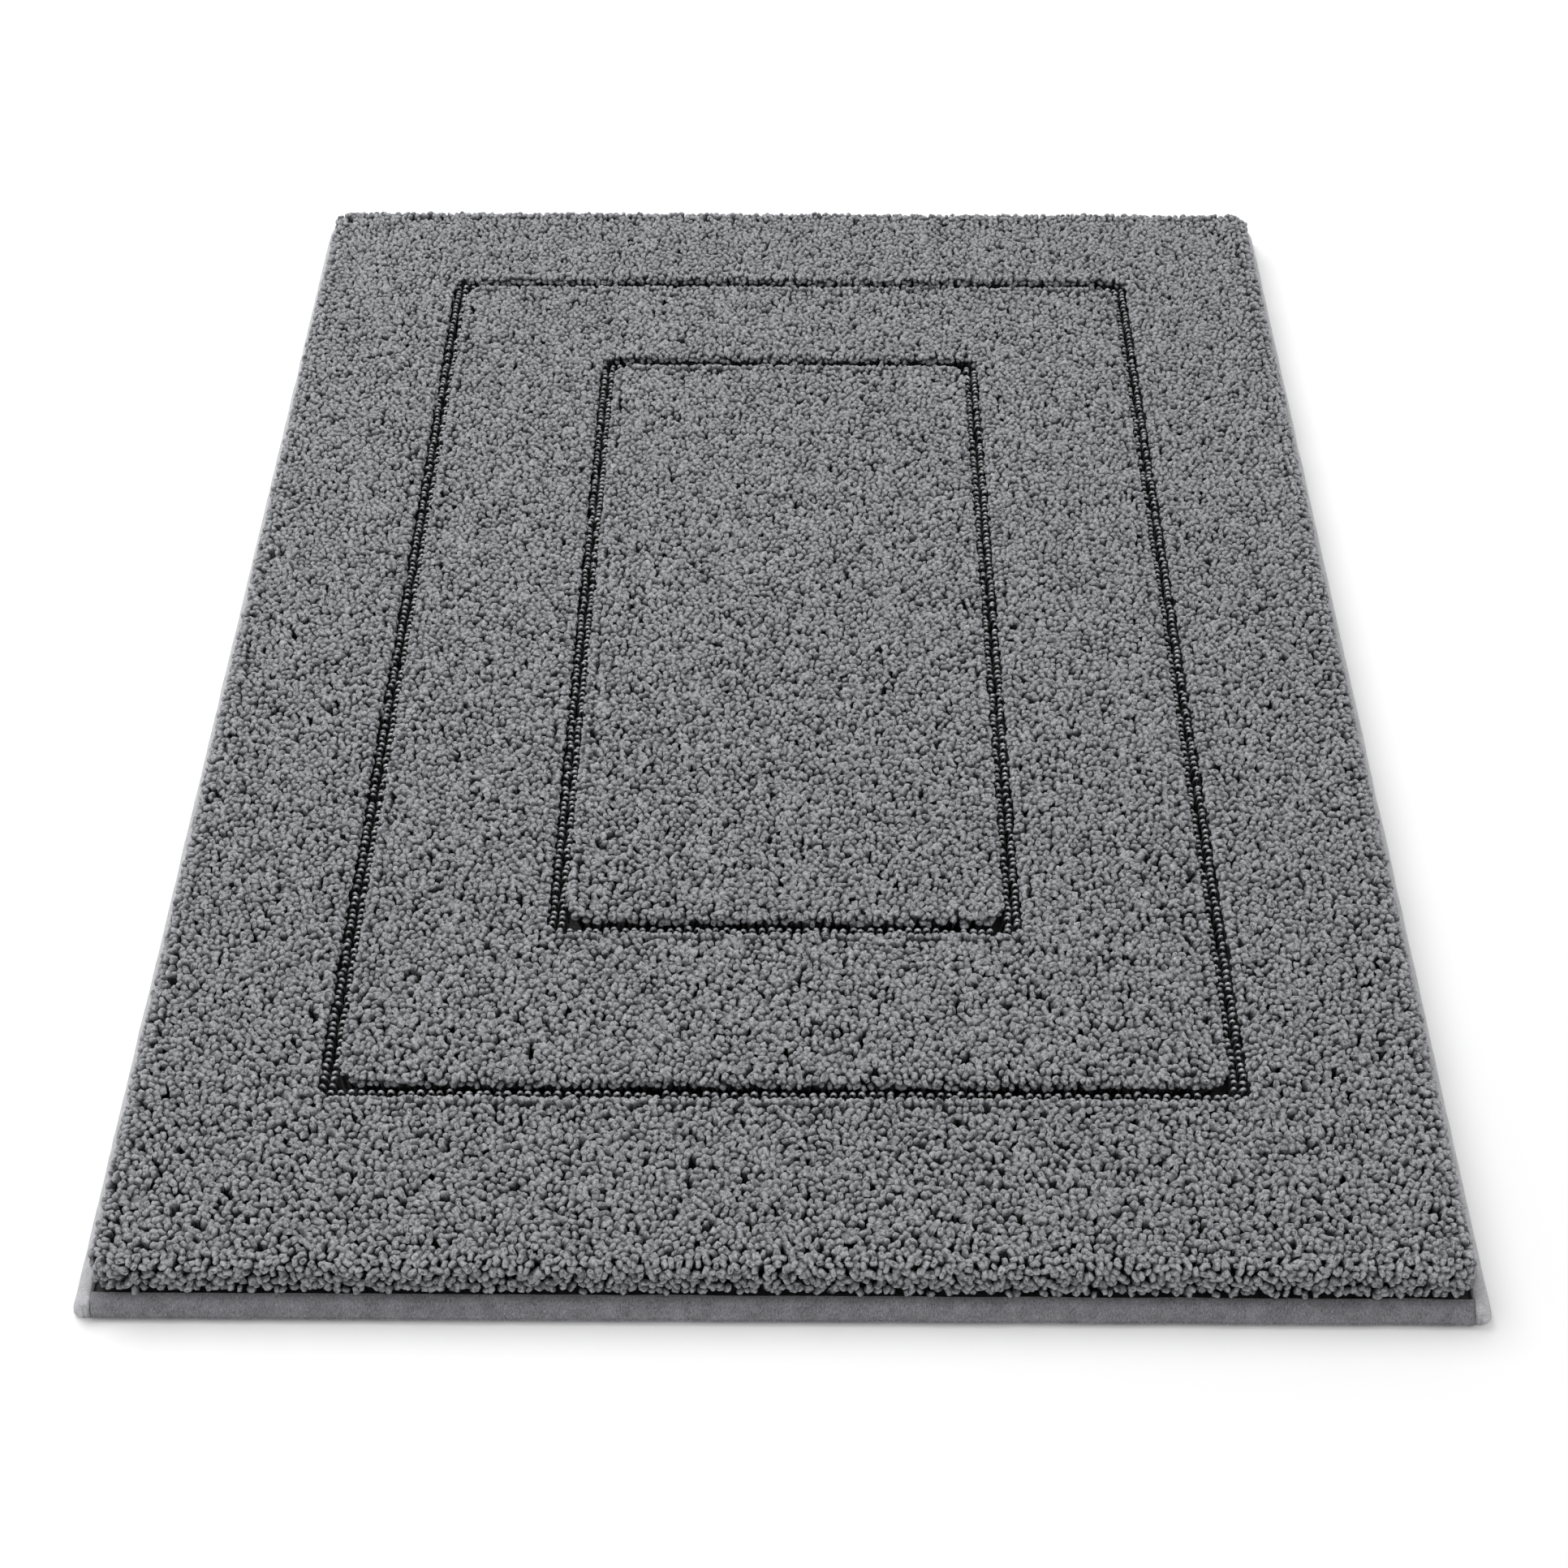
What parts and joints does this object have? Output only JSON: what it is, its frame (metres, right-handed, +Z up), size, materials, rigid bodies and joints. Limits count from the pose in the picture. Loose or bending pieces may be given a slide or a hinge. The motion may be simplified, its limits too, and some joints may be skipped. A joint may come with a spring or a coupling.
{
  "type": "bath mat",
  "caption": "Rectangular tufted bath mat with a dense short pile, nested carved channels of low loops, felt-bound edges and a non-slip rubber underside.",
  "frame": {"origin": "middle of the mat's footprint, on the floor", "axes": "X is the mat's width, Y its length with the front edge at -Y, and Z up through the pile"},
  "size_m": [0.432, 0.61, 0.02],
  "materials": {
    "pile_yarn": "dense short pile of matt twisted polyester yarn, tips curled over",
    "loop_yarn": "low uncut loops of the same yarn",
    "felt_tape": "brushed felt tape with a short nap",
    "sewing_thread": "spun polyester lockstitch thread",
    "woven_scrim": "plain-woven polypropylene tape cloth",
    "latex_precoat": "thin matt latex coat that locks the tufts",
    "nonslip_rubber": "sprayed thermoplastic rubber with a fine raised grip pattern"
  },
  "bodies": {
    "root": {"nonslip_backing": "nonslip_rubber", "latex_precoat": "latex_precoat", "woven_backing": "woven_scrim", "pile_outer_band": "pile_yarn", "pile_middle_band": "pile_yarn", "pile_centre_panel": "pile_yarn", "outer_channel_loops": "loop_yarn", "inner_channel_loops": "loop_yarn", "front_binding_tape": "felt_tape", "back_binding_tape": "felt_tape", "left_binding_tape": "felt_tape", "right_binding_tape": "felt_tape", "front_binding_thread": "sewing_thread", "back_binding_thread": "sewing_thread", "left_binding_thread": "sewing_thread", "right_binding_thread": "sewing_thread"}
  },
  "joints": []
}
